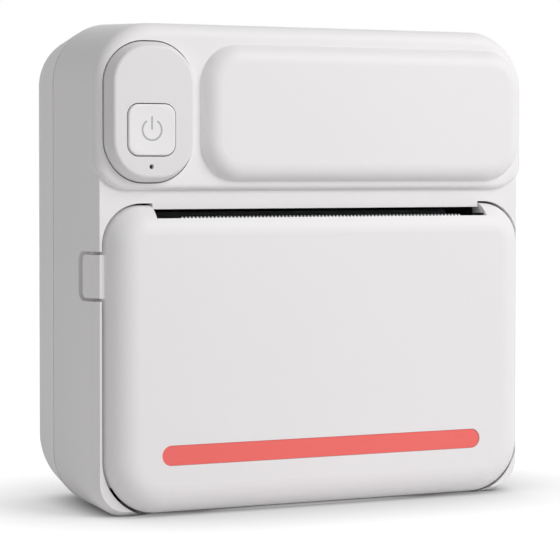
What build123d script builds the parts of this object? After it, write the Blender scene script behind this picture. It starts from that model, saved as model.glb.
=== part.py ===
from build123d import *

import os
from math import cos, degrees, pi, radians, sin

os.makedirs("parts", exist_ok=True)

# A pocket thermal printer that stands on its base. X is the width, -Y the front, Z up.
# The origin is the middle of the base. All lengths are in millimetres.

# ---- Case ----
case_width = 84.2  # at the seam, the widest place
case_height = 83.0
case_depth = 36.9  # from the face of the cover to the back
top_radius = 10.3  # upper corners of the case, from the front to the seam
low_radius = 9.7  # lower corners at the seam
front_low_radius = 5.8  # lower corners at the ledge
back_top_radius = 8.0
back_low_radius = 13.0
base_facing = 0.02  # planed off the base of the shells, so that it is flat across the seam
case_wall = 1.7
seam_depth = 17.0  # from the ledge beside the cover back to the seam
front_inset = 0.66  # the front shell narrows this much on its way to the ledge
front_edge_radius = 2.4
rim_bevel = 0.9  # bevel of the rim beside the cover, inwards
rim_bevel_depth = 1.8  # and backwards
seam_groove = 0.3  # width and depth of the shadow line at the seam
plateau_proud = 1.2  # the raised upper band, in front of the ledge
plateau_edge_radius = 1.0
step_radius = 6.75  # lower corners of the raised band
rear_inset = 2.6  # the rear shell narrows this much on its way to the back
rear_edge_radius = 7.3
rear_inner_bevel = 4.0  # inside, behind the rounded edge
inner_top_radius = 8.6  # inside of the front shell
inner_low_radius = 7.0
tongue_height = 1.4  # locating lip of the rear shell, inside the front shell
tongue_wall = 0.8
seat_gap = 0.1  # between pieces that plug into each other

# ---- Cover ----
cover_proud = 3.5  # the cover's face, in front of the ledge
cover_above_platen = 7.4  # top of the cover above the platen axis
cover_bottom = 0.25
cover_left_margin = 1.6  # rim of the case beside the cover, on the tab's side
cover_right_margin = 0.95
cover_gap = 0.3
cover_low_radius = 9.4
cover_top_radius = 6.7
cover_edge_radius = 5.0
cover_wall = 1.8
rebate_depth = 2.5  # the cover's walls reach this far behind the ledge, less the gap
ledge_band = 2.5  # from the cover's top up to the raised band

# ---- Paper slot in the cover's upper edge ----
slot_margin = 3.5  # notch beyond the paper on each side
slot_x = 0.7  # middle of the slot
slot_drop = 2.2  # lip of the cover below its top
slot_lip_height = 0.7  # the case reaches down behind the notch
teeth_margin = 1.2  # teeth short of the paper on each side
teeth_pitch = 0.7
teeth_height = 0.5
teeth_rise = 0.3  # tips above the lip of the cover
tear_bar_thickness = 0.4

# ---- Accent strip ----
strip_length = 61.6
strip_height = 3.4
strip_center_z = 10.3
strip_depth = 0.8
strip_recess = 0.12

# ---- Finger tab of the cover, flush in the left side of the case ----
tab_center_z = 40.2
tab_height = 7.2
tab_reach = 4.8  # back from the ledge
tab_thickness = 1.4
tab_corner_radius = 1.2
tab_gap = 0.55  # above and below the tab, for its arc
tab_end_gap = 1.6  # behind the tab, for a fingernail

# ---- Raised pads of the upper band ----
pad_top_margin = 3.8  # from the pads up to the top of the case
pad_rise = 1.3  # from the band's lower edge to the pads
pad_side_margin = 1.3
pad_radius = 7.0
wide_pad_edge_radius = 3.1
panel_width = 15.95
panel_draft = 19.0  # slope of the panel's sides, in degrees
panel_edge_radius = 0.6
panel_rest = 1.8  # width of the ledge that the panel rests on
panel_wall = 1.5
panel_gap = 0.2
panel_seat_depth = 1.5  # the panel sinks this far into the raised band
pad_spacing = 1.35  # between the control panel and the wide pad

# ---- Power button, status light ----
button_size = 8.5
button_radius = 1.9
button_rise = 8.7  # centre of the button above the foot of the panel
button_offset = -0.5  # of the button from the middle of the panel
button_proud = 0.3
button_gap = 0.18
button_travel = 0.5
button_flange = 0.75
button_dish_radius = 60.0
light_hole_radius = 0.4
light_pipe_radius = 0.7
led_width = 2.0
led_depth = 1.25
led_height = 0.6
light_drop = 6.1  # from the button's centre down to the light

# ---- Cover hinge ----
hinge_z = 5.0
hinge_back = 0.2  # axis behind the ledge
hinge_eye_radius = 1.6
hinge_pin_radius = 0.8
hinge_inset = 6.8  # middle of each hinge, inside the edge of the paper
hinge_eye_width = 2.4
shank_height = 1.8
hinge_lug_width = 2.2
hinge_side_gap = 0.3
running_gap = 0.05

# ---- Paper bin ----
roll_depth_room = 6.9  # walls and play before and behind the roll
roll_side_room = 13.6  # from the edge of the paper to the outside of the case
bin_clearance = 0.5  # round the roll
bin_side_clearance = 1.1
bin_wall = 1.2
bin_height = 38.0
bin_mouth = 5.6  # front edge of the trough, behind the ledge
bin_flange_width = 3.6
bin_flange_back = 8.0
bin_foot = 8.0
frame_flange_back = 12.0
flange_end_room = 1.4  # from the flanges' ends to the back of the frame
frame_flange_width = 2.6
back_plate_height = 6.3

# ---- Platen ----
platen_back = 6.0  # axis behind the ledge
platen_rise = 6.6  # axis above the paper bin
platen_radius = 4.5
platen_shaft_radius = 1.5
platen_rubber_margin = 0.3  # rubber longer than the paper on each side
bush_radius = 3.0
bush_width = 2.0  # as thick as the arms
bush_flange_radius = 3.6
bush_flange = 0.5
arm_radius = 4.2
liner_thickness = 1.1
liner_margin = 7.5  # liner beyond the paper on each side
liner_bottom = 9.0
liner_above_platen = 1.4
liner_screw_inset = 1.8
liner_screw_margin = 3.0
liner_screw_bite = 0.9
arm_inset = 1.8  # from the inside of a cheek to the middle of an arm
guide_drop = 6.0  # paper guide rib below the platen axis
guide_depth = 4.2
guide_thickness = 1.0

# ---- Mechanism frame and head ----
cheek_margin = 4.5  # from the edge of the paper to the inner face of a cheek
cheek_thickness = 1.2
frame_front = 2.8
frame_depth_room = 10.3  # depth of the case that the frame leaves free
frame_height = 18.4
frame_slot_half_width = 2.1
head_angle = 50.0  # direction of the head from the platen axis, above the horizontal
head_gap = 0.12
head_margin = 1.3  # head beyond the paper on each side
ceramic_thickness = 0.8
ceramic_front = 3.0
ceramic_back = 6.0
sink_thickness = 2.6
sink_front = 2.4
head_pivot_back = 9.5
head_pivot_height = 2.6
pivot_boss_radius = 1.9
pivot_pin_radius = 0.75
spring_plate_height = 8.2  # above the platen's tangent line
spring_plate_back = 3.0
spring_plate_front = 2.4
leaf_thickness = 0.3
leaf_width = 5.0
leaf_pitch = 18.0
spring_clearance = 0.45  # of the leaves above the heat sink, for the head to lift

# ---- Gear train ----
gear_module = 0.4
gear_width = 1.5
gear_side_gap = 0.4
gear_layer_gap = 0.2
gear_backlash = 0.12
gear_slack = 0.06  # centres stand this much further apart
platen_teeth = 24
idler_teeth = 20
reduction_small_teeth = 14
reduction_large_teeth = 28
pinion_teeth = 12
idler_angle = -20.0  # from the platen, about X, from +Y
reduction_angle = 10.0
pinion_angle = 75.0
gear_post_radius = 0.75
motor_radius = 6.0
motor_length = 13.0
motor_shaft_radius = 0.75
motor_flange = 0.8
motor_shaft_hole = 2.5
motor_ear_reach = 7.5
motor_ear_radius = 1.6
motor_ear_angles = (180.0, -75.0)

# ---- Electronics ----
board_back = 6.0  # front face behind the ledge
board_thickness = 1.2
board_side_room = 6.1  # from each end of the board to the outside of the case
board_top_room = 6.5
board_rise = 2.7  # above the foot of the raised band
board_notch_radius = 3.2
board_post_x = 14.0
board_post_rise = 5.0
board_post_radius = 1.8
chips = ((-4.0, 9.0), (6.0, 5.0), (24.0, 6.0))  # place along the board, and size
chip_height = 1.0
switch_size = 6.0
switch_height = 3.5
plunger_radius = 1.7
usb_width = 9.0
usb_height = 3.2
usb_depth = 7.4
usb_wall = 0.3
usb_tongue_width = 6.7
usb_tongue_height = 0.7
usb_tongue_depth = 6.3
usb_gap = 0.25
usb_drop = 0.85  # below the middle of the board
battery_margin = 4.5  # cell short of the paper on each side
battery_top_room = 6.0
battery_thickness = 8.0
battery_back = 12.5
battery_x = -4.0
battery_lift = 2.6  # above the mechanism frame

# ---- Fasteners ----
case_screw_inset = 8.5  # from the outside of the case
case_screw_low_z = 12.0
case_screw_drop = 9.5  # upper screws, below the top of the case
boss_radius = 2.1
pilot_radius = 0.85
screw_radius = 0.8
screw_head_radius = 1.5
screw_head_height = 1.1
screw_clearance_radius = 1.0
counterbore_radius = 1.8
case_screw_grip = 3.0  # rear shell material under the head
case_screw_bite = 5.0
small_screw_radius = 0.6
small_head_radius = 1.15
small_head_height = 0.7

# ---- Planes and places worked out from the sizes ----
face_y = -(case_depth - button_proud) / 2  # face of the cover and the pads
ledge_y = face_y + cover_proud
plateau_y = ledge_y - plateau_proud
seam_y = ledge_y + seam_depth
back_y = (case_depth + button_proud) / 2
roll_width = case_width - 2 * roll_side_room
roll_radius = (case_depth - roll_depth_room) / 2
platen_z = bin_height + platen_rise
cover_top = platen_z + cover_above_platen
cover_left = -(case_width / 2 - front_inset - cover_left_margin)
cover_right = case_width / 2 - front_inset - cover_right_margin
cover_width = cover_right - cover_left
cover_back_y = ledge_y + rebate_depth - cover_gap
cover_inner_y = face_y + cover_wall
plateau_z = cover_top + ledge_band
slot_z = cover_top - slot_drop
slot_width = roll_width + 2 * slot_margin
pad_height = case_height - plateau_z - pad_rise - pad_top_margin
case_screw_x = case_width / 2 - case_screw_inset
case_screw_high_z = case_height - case_screw_drop
hinge_x = roll_width / 2 - hinge_inset
hinge_y = ledge_y + hinge_back
platen_y = ledge_y + platen_back


def shell_section(y, inset, narrowing, upper_radius, lower_radius):
    """Outline of the case at depth y. Its base stays level: only the sides and the top close in."""
    width = case_width - 2 * narrowing - 2 * inset
    bottom = inset if inset > 0 else inset - base_facing
    height = case_height - narrowing - inset - bottom
    with BuildSketch(Plane.XZ.offset(-y)) as section:
        with Locations((0, bottom + height / 2)):
            Rectangle(width, height)
        fillet(section.vertices().group_by(Axis.Y)[0], lower_radius - inset)
        fillet(section.vertices().group_by(Axis.Y)[-1], upper_radius - inset)
    return section.sketch


def front_section(y, inset):
    """Outline of the front shell at depth y, moved inwards by inset."""
    way = (seam_y - y) / seam_depth
    return shell_section(
        y, inset, front_inset * way, top_radius, low_radius + (front_low_radius - low_radius) * way
    )


def rear_section(y, inset):
    """Outline of the rear shell at depth y, moved inwards by inset."""
    way = (y - seam_y) / (back_y - seam_y)
    return shell_section(
        y,
        inset,
        rear_inset * way,
        top_radius + (back_top_radius - top_radius) * way,
        low_radius + (back_low_radius - low_radius) * way,
    )


def cover_outline(y, growth):
    """Outline of the cover on the plane at depth y, moved outwards by growth."""
    height = cover_top - cover_bottom + 2 * growth
    with BuildSketch(Plane.XZ.offset(-y)) as outline:
        with Locations(((cover_left + cover_right) / 2, cover_bottom - growth + height / 2)):
            Rectangle(cover_width + 2 * growth, height)
        fillet(outline.vertices().group_by(Axis.Y)[0], cover_low_radius + growth)
        fillet(outline.vertices().group_by(Axis.Y)[-1], cover_top_radius + growth)
    return outline.sketch


def side_x(y):
    """Half width of the front shell's outer side at depth y."""
    return case_width / 2 - front_inset * (seam_y - y) / seam_depth


def gear_outline(x, center, teeth, angle):
    """Spur gear on the plane at x, its first tooth at angle (degrees, about +X from +Y)."""
    pitch_radius = gear_module * teeth / 2
    tooth = pi * gear_module
    corners = []
    for radius, thickness in (
        (pitch_radius - 1.15 * gear_module, 0.74 * tooth),
        (pitch_radius, 0.5 * tooth - gear_backlash),
        (pitch_radius + 0.85 * gear_module, 0.2 * tooth),
    ):
        corners.append((radius, degrees(thickness / 2 / radius)))
    points = []
    for index in range(teeth):
        middle = angle + 360 * index / teeth
        for radius, half_angle in corners:
            points.append((radius, middle - half_angle))
        for radius, half_angle in reversed(corners):
            points.append((radius, middle + half_angle))
    spots = [(center[0] + r * cos(radians(a)), center[1] + r * sin(radians(a))) for r, a in points]
    with BuildSketch(Plane.YZ.offset(x)) as outline:
        with BuildLine():
            Polyline(spots, close=True)
        make_face()
    return outline.sketch


def meshed_angle(direction, teeth_from, angle_from, teeth_to):
    """Angle of the first tooth of a gear that meshes with another gear seen in the given direction."""
    turned = radians(direction - angle_from) * teeth_from / teeth_to
    return direction + 180 + degrees(turned) + 180 / teeth_to


def step_from(center, direction, distance):
    """The point at a distance from center, in a direction in degrees about +X from +Y."""
    return (
        center[0] + distance * cos(radians(direction)),
        center[1] + distance * sin(radians(direction)),
    )


# ---- Places of the pads, the button, the light and the socket ----
panel_left = -(case_width / 2 - front_inset - pad_side_margin)
panel_x = panel_left + panel_width / 2
pad_z = plateau_z + pad_rise + pad_height / 2
wide_pad_left = panel_left + panel_width + pad_spacing
wide_pad_width = -panel_left - wide_pad_left
wide_pad_x = wide_pad_left + wide_pad_width / 2
button_x = panel_x + button_offset
button_z = plateau_z + pad_rise + button_rise
light_z = button_z - light_drop
panel_seat_y = plateau_y + panel_seat_depth
board_y = ledge_y + board_back
board_back_y = board_y + board_thickness
board_half_width = case_width / 2 - board_side_room
board_height = case_height - plateau_z - board_rise - board_top_room
board_z = plateau_z + board_rise + board_height / 2
usb_y = board_back_y + usb_height / 2
usb_x = side_x(usb_y)
usb_z = board_z - usb_drop

# ---- Places of the platen, the head and the gears, in the YZ plane ----
platen_center = (platen_y, platen_z)
nip = step_from(platen_center, head_angle, platen_radius)
# Head frame: local x runs back and down along the head, local y away from the platen.
head_plane = Plane(
    origin=(0, nip[0], nip[1]),
    x_dir=(0, sin(radians(head_angle)), -cos(radians(head_angle))),
    z_dir=(1, 0, 0),
)
sink_low = head_gap + ceramic_thickness
sink_high = sink_low + sink_thickness
pivot_point = head_plane.from_local_coords(Vector(head_pivot_back, head_pivot_height, 0))
idler_distance = gear_module * (platen_teeth + idler_teeth) / 2 + gear_slack
reduction_distance = gear_module * (idler_teeth + reduction_small_teeth) / 2 + gear_slack
pinion_distance = gear_module * (reduction_large_teeth + pinion_teeth) / 2 + gear_slack
idler_center = step_from(platen_center, idler_angle, idler_distance)
reduction_center = step_from(idler_center, reduction_angle, reduction_distance)
pinion_center = step_from(reduction_center, pinion_angle, pinion_distance)
idler_tooth = meshed_angle(idler_angle, platen_teeth, 0, idler_teeth)
reduction_small_tooth = meshed_angle(reduction_angle, idler_teeth, idler_tooth, reduction_small_teeth)
pinion_tooth = meshed_angle(pinion_angle, reduction_large_teeth, reduction_small_tooth, pinion_teeth)
frame_half_width = roll_width / 2 + cheek_margin
frame_length = case_depth - frame_depth_room
frame_flange_length = frame_front + frame_length - flange_end_room - frame_flange_back
bin_flange_length = frame_front + frame_length - flange_end_room - bin_flange_back
arm_x = frame_half_width - arm_inset
head_width = roll_width + 2 * head_margin
gear_x = frame_half_width + cheek_thickness + gear_side_gap
outer_gear_x = gear_x + gear_width + gear_layer_gap
idler_post_end = gear_x + gear_width + gear_layer_gap / 2
reduction_post_end = outer_gear_x + gear_width + gear_layer_gap
frame_bottom = bin_height
battery_width = roll_width - 2 * battery_margin
battery_z = frame_bottom + frame_height + battery_lift
battery_height = case_height - battery_top_room - battery_z
frame_front_y = ledge_y + frame_front
frame_back_y = frame_front_y + frame_length
motor_x = frame_half_width - seat_gap  # seat of the motor's flange
motor_ears = [step_from(pinion_center, angle, motor_ear_reach) for angle in motor_ear_angles]
frame_screw_x = frame_half_width - frame_flange_width / 2
frame_screw_ys = [
    ledge_y + frame_flange_back + frame_flange_width / 2,
    ledge_y + frame_flange_back + frame_flange_length - frame_flange_width / 2,
]
frame_screw_places = [(side * frame_screw_x, y) for side in (-1, 1) for y in frame_screw_ys]

# ---- Places of the bin and the screws ----
bin_radius = roll_radius + bin_clearance
bin_y = back_y - case_wall - bin_wall - bin_radius
bin_z = case_wall + bin_wall + bin_radius
bin_half_width = roll_width / 2 + bin_side_clearance
case_screw_places = [
    (side * case_screw_x, z) for side in (-1, 1) for z in (case_screw_low_z, case_screw_high_z)
]
board_screw_places = [(side * board_post_x, plateau_z + board_rise + board_post_rise) for side in (-1, 1)]
case_screw_seat_y = seam_y + case_screw_grip
guide_z = platen_z - guide_drop
liner_width = roll_width + 2 * liner_margin
liner_top = platen_z + liner_above_platen
liner_screw_x = liner_width / 2 - liner_screw_inset
liner_front_y = cover_inner_y
liner_back_y = liner_front_y + liner_thickness
liner_screw_zs = (liner_bottom + liner_screw_margin, liner_top - liner_screw_margin)
liner_screw_places = [(side * liner_screw_x, z) for side in (-1, 1) for z in liner_screw_zs]
hinge_lug_offset = (hinge_eye_width + hinge_lug_width) / 2 + hinge_side_gap
hinge_lug_spots = [
    side * hinge_x + offset for side in (-1, 1) for offset in (-hinge_lug_offset, hinge_lug_offset)
]


# ---- Front shell ----
with BuildPart() as wide_pad:
    with BuildSketch(Plane.XZ.offset(-(ledge_y + case_wall / 2))):
        with Locations((wide_pad_x, pad_z)):
            RectangleRounded(wide_pad_width, pad_height, pad_radius)
    extrude(amount=cover_proud + case_wall / 2)
    fillet(wide_pad.faces().sort_by(Axis.Y)[0].edges(), wide_pad_edge_radius)

# Room that the lower edge of the cover sweeps as it swings down.
with BuildPart() as swing_room:
    extrude(cover_outline(ledge_y + 2 * rebate_depth, cover_gap), amount=2 * rebate_depth)
    with BuildSketch(Plane.YZ.offset(cover_left)):
        with Locations((hinge_y, hinge_z)):
            Circle(hinge_z - cover_bottom + cover_gap)
    extrude(amount=cover_width, mode=Mode.INTERSECT)

# The raised upper band, in front of the ledge.
band_back_y = ledge_y + rim_bevel_depth
with BuildPart() as raised_band:
    extrude(front_section(band_back_y, 0), amount=band_back_y - plateau_y)
    fillet(raised_band.faces().sort_by(Axis.Y)[0].edges(), front_edge_radius)
    with BuildSketch(Plane.XZ.offset(-band_back_y)) as band_outline:
        with Locations((0, plateau_z)):
            Rectangle(case_width, case_height, align=(Align.CENTER, Align.MIN))
        fillet(band_outline.vertices().group_by(Axis.Y)[0], step_radius)
    extrude(amount=case_depth, mode=Mode.INTERSECT)
    band_edges = raised_band.edges().filter_by_position(Axis.Y, plateau_y - 0.01, plateau_y + 0.01)
    low_band_edges = band_edges.filter_by_position(Axis.Z, plateau_z - 0.01, plateau_z + step_radius / 2)
    fillet(low_band_edges, plateau_edge_radius)

window_bottom = plateau_z + pad_rise + panel_rest
window_radius = pad_radius - 2 * panel_rest
tab_notch_depth = tab_reach + tab_end_gap
tab_notch_bottom = tab_center_z - tab_height / 2 - tab_gap
tab_notch_height = tab_height + 2 * tab_gap

with BuildPart() as front_shell:
    loft([front_section(band_back_y, 0), front_section(seam_y, 0)], ruled=True)
    # Bevelled rim round the cover.
    loft([front_section(ledge_y, rim_bevel), front_section(band_back_y, 0)], ruled=True)
    split(bisect_by=Plane.XY, keep=Keep.TOP)
    add(raised_band.part)
    add(wide_pad.part)
    # The inside.
    inside_width = 2 * (side_x(ledge_y) - case_wall)
    inside_height = case_height - front_inset - 2 * case_wall
    with BuildSketch(Plane.XZ.offset(-(ledge_y + case_wall))) as inside_outline:
        with Locations((0, case_wall + inside_height / 2)):
            Rectangle(inside_width, inside_height)
        fillet(inside_outline.vertices().group_by(Axis.Y)[0], inner_low_radius)
        fillet(inside_outline.vertices().group_by(Axis.Y)[-1], inner_top_radius)
    extrude(amount=-seam_depth, mode=Mode.SUBTRACT)
    # Shadow line at the seam.
    with BuildSketch(Plane.XZ.offset(-seam_y)):
        add(front_section(seam_y, -case_wall))
        add(front_section(seam_y, seam_groove), mode=Mode.SUBTRACT)
    extrude(amount=seam_groove, mode=Mode.SUBTRACT)
    # Hollow of the wide pad.
    with BuildSketch(Plane.XZ.offset(-(ledge_y + case_wall))):
        with Locations((wide_pad_x, pad_z)):
            RectangleRounded(
                wide_pad_width - 2 * wide_pad_edge_radius,
                pad_height - 2 * wide_pad_edge_radius,
                pad_radius - wide_pad_edge_radius,
            )
    extrude(amount=cover_proud, mode=Mode.SUBTRACT)
    # Seat and window of the control panel.
    with BuildSketch(Plane.XZ.offset(-panel_seat_y)):
        with Locations((panel_x, pad_z)):
            RectangleRounded(panel_width + 2 * panel_gap, pad_height + 2 * panel_gap, pad_radius + panel_gap)
    extrude(amount=cover_proud, mode=Mode.SUBTRACT)
    with BuildSketch(Plane.XZ.offset(-(ledge_y + case_wall))):
        with Locations((panel_x, window_bottom)):
            RectangleRounded(
                panel_width - 2 * panel_rest,
                case_screw_high_z - boss_radius - case_wall / 2 - window_bottom,
                window_radius,
                align=(Align.CENTER, Align.MIN),
            )
    extrude(amount=cover_proud, mode=Mode.SUBTRACT)
    # Opening of the cover, its rebate, and the lip that stays behind the paper slot.
    extrude(cover_outline(ledge_y + rebate_depth, cover_gap), amount=2 * rebate_depth, mode=Mode.SUBTRACT)
    with BuildSketch(Plane.XZ.offset(-(ledge_y + case_wall))):
        with Locations((slot_x, cover_top - slot_lip_height)):
            Rectangle(
                slot_width - 2 * cover_gap, slot_lip_height + 2 * cover_gap, align=(Align.CENTER, Align.MIN)
            )
    extrude(amount=case_wall)
    add(swing_room.part, mode=Mode.SUBTRACT)
    # Notch for the finger tab.
    with BuildSketch(Plane.YZ.offset(-case_width / 2)):
        with Locations((ledge_y + tab_notch_depth, tab_notch_bottom)):
            RectangleRounded(
                2 * tab_notch_depth,
                tab_notch_height,
                tab_corner_radius + tab_gap,
                align=(Align.MAX, Align.MIN),
            )
    extrude(amount=case_width / 2 + cover_left + case_wall, mode=Mode.SUBTRACT)
    # Charging socket opening in the right side.
    with BuildSketch(Plane.YZ.offset(case_width / 2 - 2 * case_wall)):
        with Locations((usb_y, usb_z)):
            RectangleRounded(
                usb_height + 2 * usb_gap, usb_width + 2 * usb_gap, (usb_height + usb_gap) / 2
            )
    extrude(amount=3 * case_wall, mode=Mode.SUBTRACT)
    # Screw bosses for the rear shell. The low ones stand on webs from the sides.
    for side, boss_front in ((-1, ledge_y + case_wall / 2), (1, face_y + case_wall / 2)):
        with BuildSketch(Plane.XZ.offset(-boss_front)):
            with Locations((side * case_screw_x, case_screw_high_z)):
                Circle(boss_radius)
        extrude(amount=boss_front - seam_y)
        with BuildSketch(Plane.XZ.offset(-(ledge_y + bin_mouth + 1))):
            with Locations((side * case_screw_x, case_screw_low_z)):
                Circle(boss_radius)
            with Locations((side * (case_screw_x + side_x(ledge_y)) / 2, case_screw_low_z)):
                Rectangle(side_x(ledge_y) - case_screw_x - case_wall / 2, case_wall)
        extrude(amount=-(seam_depth - bin_mouth - 1))
    with BuildSketch(Plane.XZ.offset(-seam_y)):
        with Locations(*case_screw_places):
            Circle(pilot_radius)
    extrude(amount=case_screw_bite + 1, mode=Mode.SUBTRACT)
    # Posts of the main board, in the hollow of the wide pad.
    with BuildSketch(Plane.XZ.offset(-board_y)):
        with Locations(*board_screw_places):
            Circle(board_post_radius)
    extrude(amount=board_y - face_y - case_wall / 2)
    with BuildSketch(Plane.XZ.offset(-board_y)):
        with Locations(*board_screw_places):
            Circle(small_screw_radius)
    extrude(amount=board_back / 2, mode=Mode.SUBTRACT)
front_shell.part.label = "front_shell"
export_step(front_shell.part, "parts/front_shell.step")

# ---- Rear shell ----
inner_bevel_y = back_y - case_wall - rear_inner_bevel
with BuildPart() as rear_body:
    loft([rear_section(seam_y, 0), rear_section(back_y, 0)], ruled=True)
    fillet(rear_body.faces().sort_by(Axis.Y)[-1].edges(), rear_edge_radius)
    split(bisect_by=Plane.XY, keep=Keep.TOP)

with BuildPart() as posts:
    with BuildSketch(Plane.XZ.offset(-seam_y)):
        with Locations(*case_screw_places):
            Circle(counterbore_radius + case_wall / 2)
    extrude(amount=-(back_y - seam_y))
    add(rear_body.part, mode=Mode.INTERSECT)

with BuildPart() as rear_shell:
    add(rear_body.part)
    loft(
        [
            rear_section(seam_y, case_wall),
            rear_section(inner_bevel_y, case_wall),
            rear_section(back_y - case_wall, case_wall + rear_inner_bevel),
        ],
        ruled=True,
        mode=Mode.SUBTRACT,
    )
    # Locating lip, in short stretches between the corners.
    tongue_inset = case_wall + front_inset + seat_gap + tongue_wall / 2
    for side in (-1, 1):
        with BuildSketch(Plane.XZ.offset(-(seam_y + tongue_wall))):
            with Locations((side * (case_width / 2 - tongue_inset), case_height / 2)):
                Rectangle(tongue_wall, case_height / 2)
        extrude(amount=tongue_height + tongue_wall)
        with BuildSketch(Plane.XZ.offset(-(seam_y + 2 * tongue_wall))):
            with Locations((side * (case_width / 2 - tongue_inset + tongue_wall / 2), case_height / 2)):
                Rectangle(2 * tongue_wall, case_height / 2)
        extrude(amount=tongue_wall)
    with BuildSketch(Plane.XZ.offset(-(seam_y + tongue_wall))):
        with Locations((0, case_height - tongue_inset)):
            Rectangle(case_width / 2, tongue_wall)
    extrude(amount=tongue_height + tongue_wall)
    with BuildSketch(Plane.XZ.offset(-(seam_y + 2 * tongue_wall))):
        with Locations((0, case_height - tongue_inset + tongue_wall / 2)):
            Rectangle(case_width / 2, 2 * tongue_wall)
    extrude(amount=tongue_wall)
    # Posts that meet the bosses of the front shell.
    add(posts.part)
    with BuildSketch(Plane.XZ.offset(-seam_y)):
        with Locations(*case_screw_places):
            Circle(screw_clearance_radius)
    extrude(amount=-case_screw_grip, mode=Mode.SUBTRACT)
    with BuildSketch(Plane.XZ.offset(-case_screw_seat_y)):
        with Locations(*case_screw_places):
            Circle(counterbore_radius)
    extrude(amount=-case_depth, mode=Mode.SUBTRACT)
    # Shelf of the battery.
    with BuildSketch(Plane.XY.offset(battery_z - case_wall)):
        with Locations((battery_x, ledge_y + battery_back)):
            Rectangle(
                battery_width - 2 * case_wall,
                back_y - ledge_y - battery_back - case_wall / 2,
                align=(Align.CENTER, Align.MIN),
            )
    extrude(amount=case_wall)
rear_shell.part.label = "rear_shell"
export_step(rear_shell.part, "parts/rear_shell.step")

# ---- Control panel, power button and light ----
panel_back_y = panel_seat_y
panel_inner_y = face_y + panel_wall
with BuildPart() as control_panel:
    with BuildSketch(Plane.XZ.offset(-panel_back_y)):
        with Locations((panel_x, pad_z)):
            RectangleRounded(panel_width, pad_height, pad_radius)
    extrude(amount=panel_seat_depth)
    with BuildSketch(Plane.XZ.offset(-plateau_y)):
        with Locations((panel_x, pad_z)):
            RectangleRounded(panel_width, pad_height, pad_radius)
    extrude(amount=plateau_y - face_y, taper=panel_draft)
    fillet(control_panel.faces().sort_by(Axis.Y)[0].edges(), panel_edge_radius)
    with BuildSketch(Plane.XZ.offset(-panel_back_y)):
        with Locations((panel_x, pad_z)):
            RectangleRounded(
                panel_width - 2 * panel_wall, pad_height - 2 * panel_wall, pad_radius - panel_wall
            )
    extrude(amount=panel_back_y - panel_inner_y, mode=Mode.SUBTRACT)
    with BuildSketch(Plane.XZ.offset(-panel_back_y)):
        with Locations((button_x, button_z)):
            RectangleRounded(
                button_size + 2 * button_gap, button_size + 2 * button_gap, button_radius + button_gap
            )
        with Locations((button_x, light_z)):
            Circle(light_hole_radius)
    extrude(amount=case_depth, mode=Mode.SUBTRACT)
control_panel.part.label = "control_panel"
export_step(control_panel.part, "parts/control_panel.step")

button_face_y = face_y - button_proud
switch_front_y = board_y - switch_height
plunger_front_y = switch_front_y - 1
with BuildPart() as power_button:
    with BuildSketch(Plane.XZ.offset(-(panel_inner_y + running_gap))):
        with Locations((button_x, button_z)):
            RectangleRounded(button_size, button_size, button_radius)
    extrude(amount=panel_inner_y + running_gap - button_face_y)
    fillet(power_button.faces().sort_by(Axis.Y)[0].edges(), button_proud)
    # Shallow dish for the finger.
    with Locations((button_x, button_face_y + button_proud / 2 - button_dish_radius, button_z)):
        Sphere(button_dish_radius, mode=Mode.SUBTRACT)
    # Flange that keeps the button in the panel, and the stem that presses the switch.
    with BuildSketch(Plane.XZ.offset(-(panel_inner_y + running_gap + button_flange))):
        with Locations((button_x, button_z)):
            RectangleRounded(
                button_size + 2 * button_flange,
                button_size + 2 * button_flange,
                button_radius + button_flange,
            )
    extrude(amount=button_flange)
    with BuildSketch(Plane.XZ.offset(-plunger_front_y)):
        with Locations((button_x, button_z)):
            Circle(plunger_radius)
    extrude(amount=plunger_front_y - panel_inner_y - button_flange)
power_button.part.label = "power_button"
export_step(power_button.part, "parts/power_button.step")

with BuildPart() as switch_plunger:
    with BuildSketch(Plane.XZ.offset(-(switch_front_y + 1))):
        with Locations((button_x, button_z)):
            Circle(plunger_radius)
    extrude(amount=switch_front_y + 1 - plunger_front_y)
switch_plunger.part.label = "switch_plunger"
export_step(switch_plunger.part, "parts/switch_plunger.step")

with BuildPart() as tact_switch:
    with BuildSketch(Plane.XZ.offset(-board_y)):
        with Locations((button_x, button_z)):
            RectangleRounded(switch_size, switch_size, switch_size / 10)
    extrude(amount=switch_height)
    with BuildSketch(Plane.XZ.offset(-(switch_front_y + 1 + 2 * button_travel))):
        with Locations((button_x, button_z)):
            Circle(plunger_radius + seat_gap)
    extrude(amount=switch_height, mode=Mode.SUBTRACT)
tact_switch.part.label = "tact_switch"
export_step(tact_switch.part, "parts/tact_switch.step")

with BuildPart() as status_led:
    with BuildSketch(Plane.XZ.offset(-board_y)):
        with Locations((button_x, light_z)):
            Rectangle(led_width, led_depth)
    extrude(amount=led_height)
status_led.part.label = "status_led"
export_step(status_led.part, "parts/status_led.step")

with BuildPart() as light_pipe:
    with BuildSketch(Plane.XZ.offset(-(board_y - led_height))):
        with Locations((button_x, light_z)):
            Circle(light_pipe_radius)
    extrude(amount=board_y - led_height - panel_inner_y)
    with BuildSketch(Plane.XZ.offset(-panel_inner_y)):
        with Locations((button_x, light_z)):
            Circle(light_hole_radius - seat_gap / 2)
    extrude(amount=panel_wall / 2)
light_pipe.part.label = "light_pipe"
export_step(light_pipe.part, "parts/light_pipe.step")

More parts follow.
